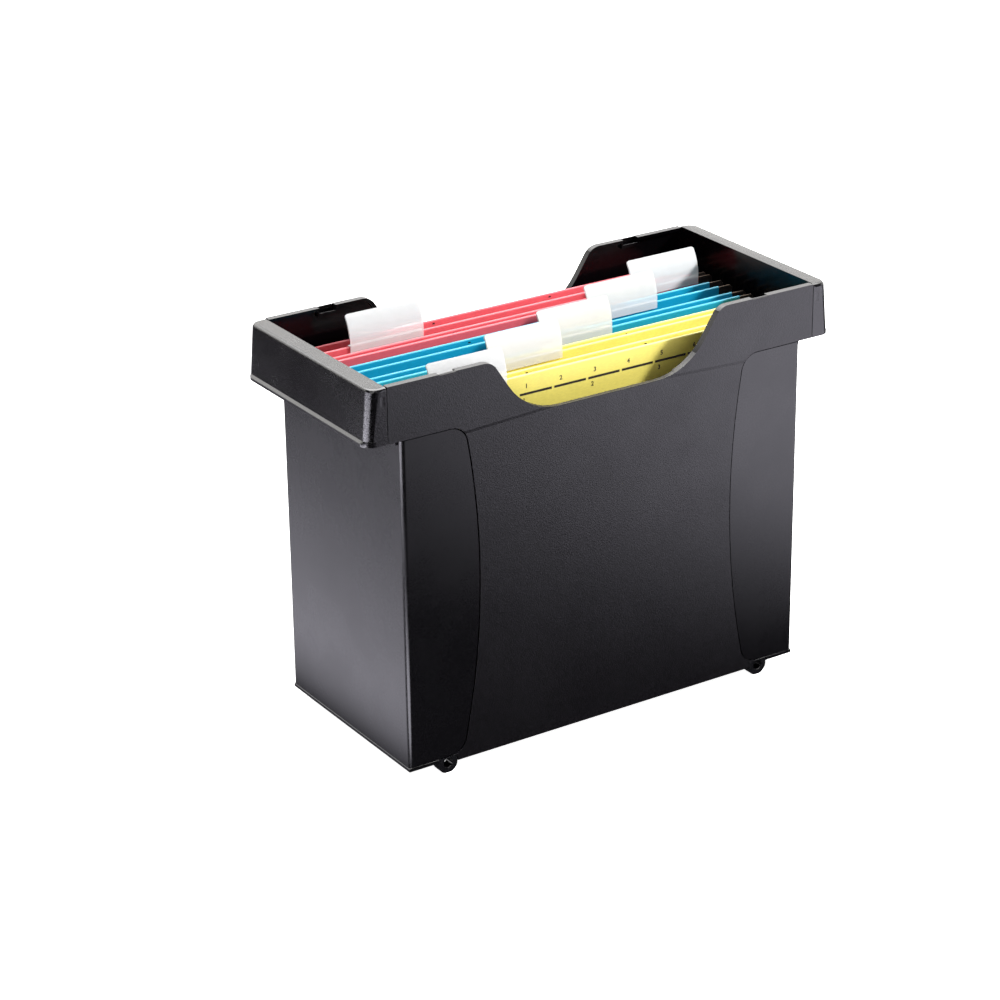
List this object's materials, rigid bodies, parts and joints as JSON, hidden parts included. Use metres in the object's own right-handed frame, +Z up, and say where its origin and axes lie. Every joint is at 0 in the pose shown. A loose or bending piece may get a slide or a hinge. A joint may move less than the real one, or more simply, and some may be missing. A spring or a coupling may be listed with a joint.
{
  "type": "portable file box",
  "caption": "Open plastic box with a waisted front and back, wide end caps and grip openings, holding suspension files that hang on rails, each with a clear tab.",
  "frame": {"origin": "centre of the box on the surface that its feet stand on", "axes": "+X along the box, -Y out of the front panel, +Z up"},
  "size_m": [0.3892, 0.163, 0.2975],
  "materials": {
    "textured_shell": "fine moulded grain",
    "satin_shell": "satin",
    "foot_plastic": "gloss",
    "red_card": "smooth card",
    "blue_card": "smooth card",
    "yellow_card": "smooth card",
    "bar_steel": "dark lacquered strip",
    "clear_tab": "clear",
    "label_paper": "uncoated"
  },
  "bodies": {
    "box": {"front_panel": "textured_shell", "back_panel": "textured_shell", "left_end_panel": "satin_shell", "right_end_panel": "satin_shell", "base_tray": "satin_shell", "left_end_cap": "textured_shell", "right_end_cap": "textured_shell", "front_left_foot": "foot_plastic", "front_right_foot": "foot_plastic", "back_left_foot": "foot_plastic", "back_right_foot": "foot_plastic"},
    "red_rear_file": {"red_rear_back_sheet": "red_card", "red_rear_back_bar": "bar_steel"},
    "red_rear_front_leaf": {"red_rear_front_sheet": "red_card", "red_rear_front_bar": "bar_steel", "red_rear_tab": "clear_tab", "red_rear_label": "label_paper"},
    "red_front_file": {"red_front_back_sheet": "red_card", "red_front_back_bar": "bar_steel"},
    "red_front_front_leaf": {"red_front_front_sheet": "red_card", "red_front_front_bar": "bar_steel", "red_front_tab": "clear_tab", "red_front_label": "label_paper"},
    "blue_rear_file": {"blue_rear_back_sheet": "blue_card", "blue_rear_back_bar": "bar_steel"},
    "blue_rear_front_leaf": {"blue_rear_front_sheet": "blue_card", "blue_rear_front_bar": "bar_steel", "blue_rear_tab": "clear_tab", "blue_rear_label": "label_paper"},
    "blue_front_file": {"blue_front_back_sheet": "blue_card", "blue_front_back_bar": "bar_steel"},
    "blue_front_front_leaf": {"blue_front_front_sheet": "blue_card", "blue_front_front_bar": "bar_steel", "blue_front_tab": "clear_tab", "blue_front_label": "label_paper"},
    "yellow_rear_file": {"yellow_rear_back_sheet": "yellow_card", "yellow_rear_back_bar": "bar_steel"},
    "yellow_rear_front_leaf": {"yellow_rear_front_sheet": "yellow_card", "yellow_rear_front_bar": "bar_steel", "yellow_rear_tab": "clear_tab", "yellow_rear_label": "label_paper"},
    "yellow_front_file": {"yellow_front_back_sheet": "yellow_card", "yellow_front_back_bar": "bar_steel"},
    "yellow_front_front_leaf": {"yellow_front_front_sheet": "yellow_card", "yellow_front_front_bar": "bar_steel", "yellow_front_tab": "clear_tab", "yellow_front_label": "label_paper"}
  },
  "joints": [
    {"name": "red_rear_lift", "type": "slide", "parent": "box", "child": "red_rear_file", "axis": [0, 0, 1], "range_m": [0, 0.275]},
    {"name": "red_rear_open", "type": "hinge", "parent": "red_rear_file", "child": "red_rear_front_leaf", "pos_m": [0, 0.05995, 0.031], "axis": [1, 0, 0], "range_deg": [-2, 2]},
    {"name": "red_front_lift", "type": "slide", "parent": "box", "child": "red_front_file", "axis": [0, 0, 1], "range_m": [0, 0.275]},
    {"name": "red_front_open", "type": "hinge", "parent": "red_front_file", "child": "red_front_front_leaf", "pos_m": [0.001, 0.03755, 0.031], "axis": [1, 0, 0], "range_deg": [-0.6, 2]},
    {"name": "blue_rear_lift", "type": "slide", "parent": "box", "child": "blue_rear_file", "axis": [0, 0, 1], "range_m": [0, 0.275]},
    {"name": "blue_rear_open", "type": "hinge", "parent": "blue_rear_file", "child": "blue_rear_front_leaf", "pos_m": [0, 0.01335, 0.031], "axis": [1, 0, 0], "range_deg": [-1.6, 2]},
    {"name": "blue_front_lift", "type": "slide", "parent": "box", "child": "blue_front_file", "axis": [0, 0, 1], "range_m": [0, 0.275]},
    {"name": "blue_front_open", "type": "hinge", "parent": "blue_front_file", "child": "blue_front_front_leaf", "pos_m": [0, -0.01295, 0.031], "axis": [1, 0, 0], "range_deg": [-1.1, 2]},
    {"name": "yellow_rear_lift", "type": "slide", "parent": "box", "child": "yellow_rear_file", "axis": [0, 0, 1], "range_m": [0, 0.275]},
    {"name": "yellow_rear_open", "type": "hinge", "parent": "yellow_rear_file", "child": "yellow_rear_front_leaf", "pos_m": [0, -0.03375, 0.031], "axis": [1, 0, 0], "range_deg": [-0.7, 2]},
    {"name": "yellow_front_lift", "type": "slide", "parent": "box", "child": "yellow_front_file", "axis": [0, 0, 1], "range_m": [0, 0.275]},
    {"name": "yellow_front_open", "type": "hinge", "parent": "yellow_front_file", "child": "yellow_front_front_leaf", "pos_m": [0, -0.05765, 0.031], "axis": [1, 0, 0], "range_deg": [-0.8, 2]}
  ]
}
